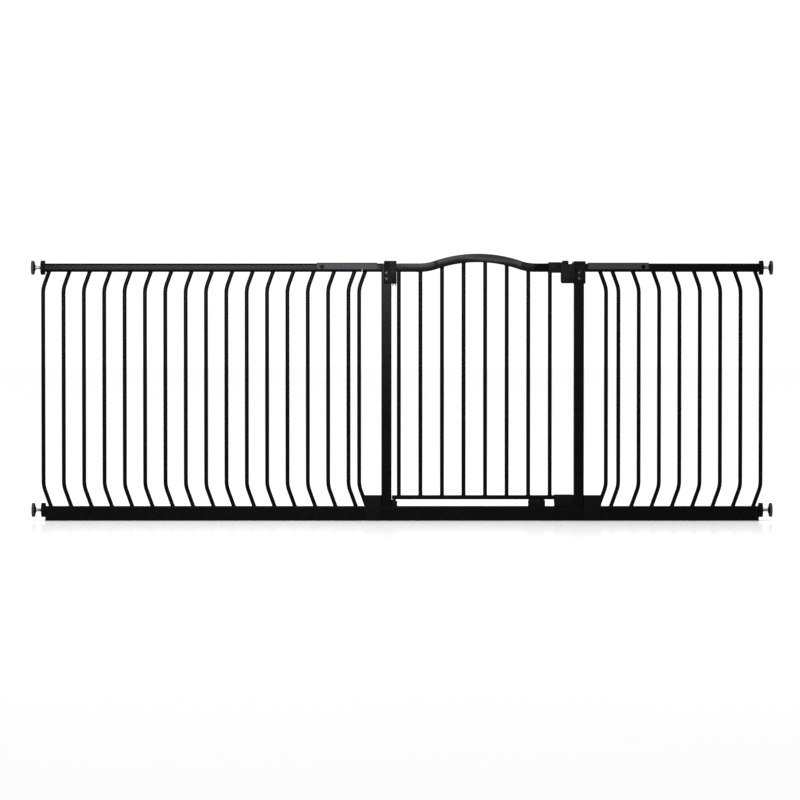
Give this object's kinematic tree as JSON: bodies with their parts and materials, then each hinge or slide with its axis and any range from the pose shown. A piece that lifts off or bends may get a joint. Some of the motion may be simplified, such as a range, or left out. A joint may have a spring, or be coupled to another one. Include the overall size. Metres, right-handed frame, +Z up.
{
  "type": "pet gate",
  "caption": "Wide pressure-fit steel pet gate: a frame with an arched swinging door, bowed-bar side panels that slide out, and hand-wheel bolts with wall pads.",
  "frame": {"origin": "floor level, half way across the overall width, in the mid-plane of the gate", "axes": "+X along the gate to the right seen from the front, +Y to the back (the door opens towards +Y), +Z up"},
  "size_m": [2.184, 0.042, 0.7871],
  "materials": {
    "black_steel": "matt black powder coat with a fine orange-peel texture",
    "black_plastic": "black moulded plastic, satin",
    "zinc": "bright zinc plate",
    "black_rubber": "black rubber"
  },
  "bodies": {
    "frame": {"left_post": "black_steel", "right_post": "black_steel", "base_tube": "black_steel", "left_stub": "black_steel", "right_stub": "black_steel", "left_sleeve": "black_steel", "right_sleeve": "black_steel", "left_lock_screw": "black_plastic", "right_lock_screw": "black_plastic", "left_block": "black_plastic", "right_block": "black_plastic", "left_inner_tube": "black_steel", "right_inner_tube": "black_steel", "left_fixed_bar": "black_steel", "right_fixed_bar": "black_steel", "hinge_bracket": "black_plastic", "hinge_pin": "zinc", "hinge_screw_upper": "zinc", "hinge_screw_lower": "zinc", "latch_keeper": "black_plastic", "keeper_screw_upper": "zinc", "keeper_screw_lower": "zinc", "lower_hinge_socket": "black_plastic", "lower_keeper": "black_plastic", "stop_block": "black_plastic"},
    "door": {"door_top_rail": "black_steel", "door_bottom_rail": "black_steel", "door_bars": "black_steel", "door_foot": "black_plastic", "handle_cover": "black_plastic", "cover_screw": "black_plastic", "latch_case": "black_plastic"},
    "latch": {"thumb_slider": "black_plastic", "latch_bolt": "zinc"},
    "left_panel": {"left_top_rail": "black_steel", "left_bottom_rail": "black_steel", "left_bars": "black_steel", "left_top_plug": "black_plastic", "left_bottom_plug": "black_plastic"},
    "right_panel": {"right_top_rail": "black_steel", "right_bottom_rail": "black_steel", "right_bars": "black_steel", "right_top_plug": "black_plastic", "right_bottom_plug": "black_plastic"},
    "left_upper_bolt": {"left_upper_spindle": "zinc", "left_upper_pad": "black_rubber"},
    "left_upper_handwheel": {"left_upper_wheel": "black_plastic"},
    "left_lower_bolt": {"left_lower_spindle": "zinc", "left_lower_pad": "black_rubber"},
    "left_lower_handwheel": {"left_lower_wheel": "black_plastic"},
    "right_upper_bolt": {"right_upper_spindle": "zinc", "right_upper_pad": "black_rubber"},
    "right_upper_handwheel": {"right_upper_wheel": "black_plastic"},
    "right_lower_bolt": {"right_lower_spindle": "zinc", "right_lower_pad": "black_rubber"},
    "right_lower_handwheel": {"right_lower_wheel": "black_plastic"}
  },
  "joints": [
    {"name": "door_swing", "type": "hinge", "parent": "frame", "child": "door", "pos_m": [-0.023, 0, 0.4], "axis": [0, 0, 1], "range_deg": [0, 90]},
    {"name": "latch_slide", "type": "slide", "parent": "door", "child": "latch", "axis": [1, 0, 0], "range_m": [0, 0.01]},
    {"name": "left_panel_slide", "type": "slide", "parent": "frame", "child": "left_panel", "axis": [-1, 0, 0], "range_m": [0, 0.06]},
    {"name": "right_panel_slide", "type": "slide", "parent": "frame", "child": "right_panel", "axis": [1, 0, 0], "range_m": [0, 0.06]},
    {"name": "left_upper_wheel_turn", "type": "hinge", "parent": "left_panel", "child": "left_upper_handwheel", "pos_m": [-1.058, 0, 0.746], "axis": [1, 0, 0], "range_deg": [0, 7200]},
    {"name": "left_upper_bolt_slide", "type": "slide", "parent": "left_panel", "child": "left_upper_bolt", "axis": [-1, 0, 0], "range_m": [0, 0.0301]},
    {"name": "left_lower_wheel_turn", "type": "hinge", "parent": "left_panel", "child": "left_lower_handwheel", "pos_m": [-1.058, 0, 0.0315], "axis": [1, 0, 0], "range_deg": [0, 7200]},
    {"name": "left_lower_bolt_slide", "type": "slide", "parent": "left_panel", "child": "left_lower_bolt", "axis": [-1, 0, 0], "range_m": [0, 0.0301]},
    {"name": "right_upper_wheel_turn", "type": "hinge", "parent": "right_panel", "child": "right_upper_handwheel", "pos_m": [1.058, 0, 0.746], "axis": [-1, 0, 0], "range_deg": [0, 7200]},
    {"name": "right_upper_bolt_slide", "type": "slide", "parent": "right_panel", "child": "right_upper_bolt", "axis": [1, 0, 0], "range_m": [0, 0.0301]},
    {"name": "right_lower_wheel_turn", "type": "hinge", "parent": "right_panel", "child": "right_lower_handwheel", "pos_m": [1.058, 0, 0.0315], "axis": [-1, 0, 0], "range_deg": [0, 7200]},
    {"name": "right_lower_bolt_slide", "type": "slide", "parent": "right_panel", "child": "right_lower_bolt", "axis": [1, 0, 0], "range_m": [0, 0.0301]}
  ],
  "couplings": [
    {"joint": "left_upper_bolt_slide", "follows": "left_upper_wheel_turn", "m_per_rad": 0.00023873},
    {"joint": "left_lower_bolt_slide", "follows": "left_lower_wheel_turn", "m_per_rad": 0.00023873},
    {"joint": "right_upper_bolt_slide", "follows": "right_upper_wheel_turn", "m_per_rad": 0.00023873},
    {"joint": "right_lower_bolt_slide", "follows": "right_lower_wheel_turn", "m_per_rad": 0.00023873}
  ]
}
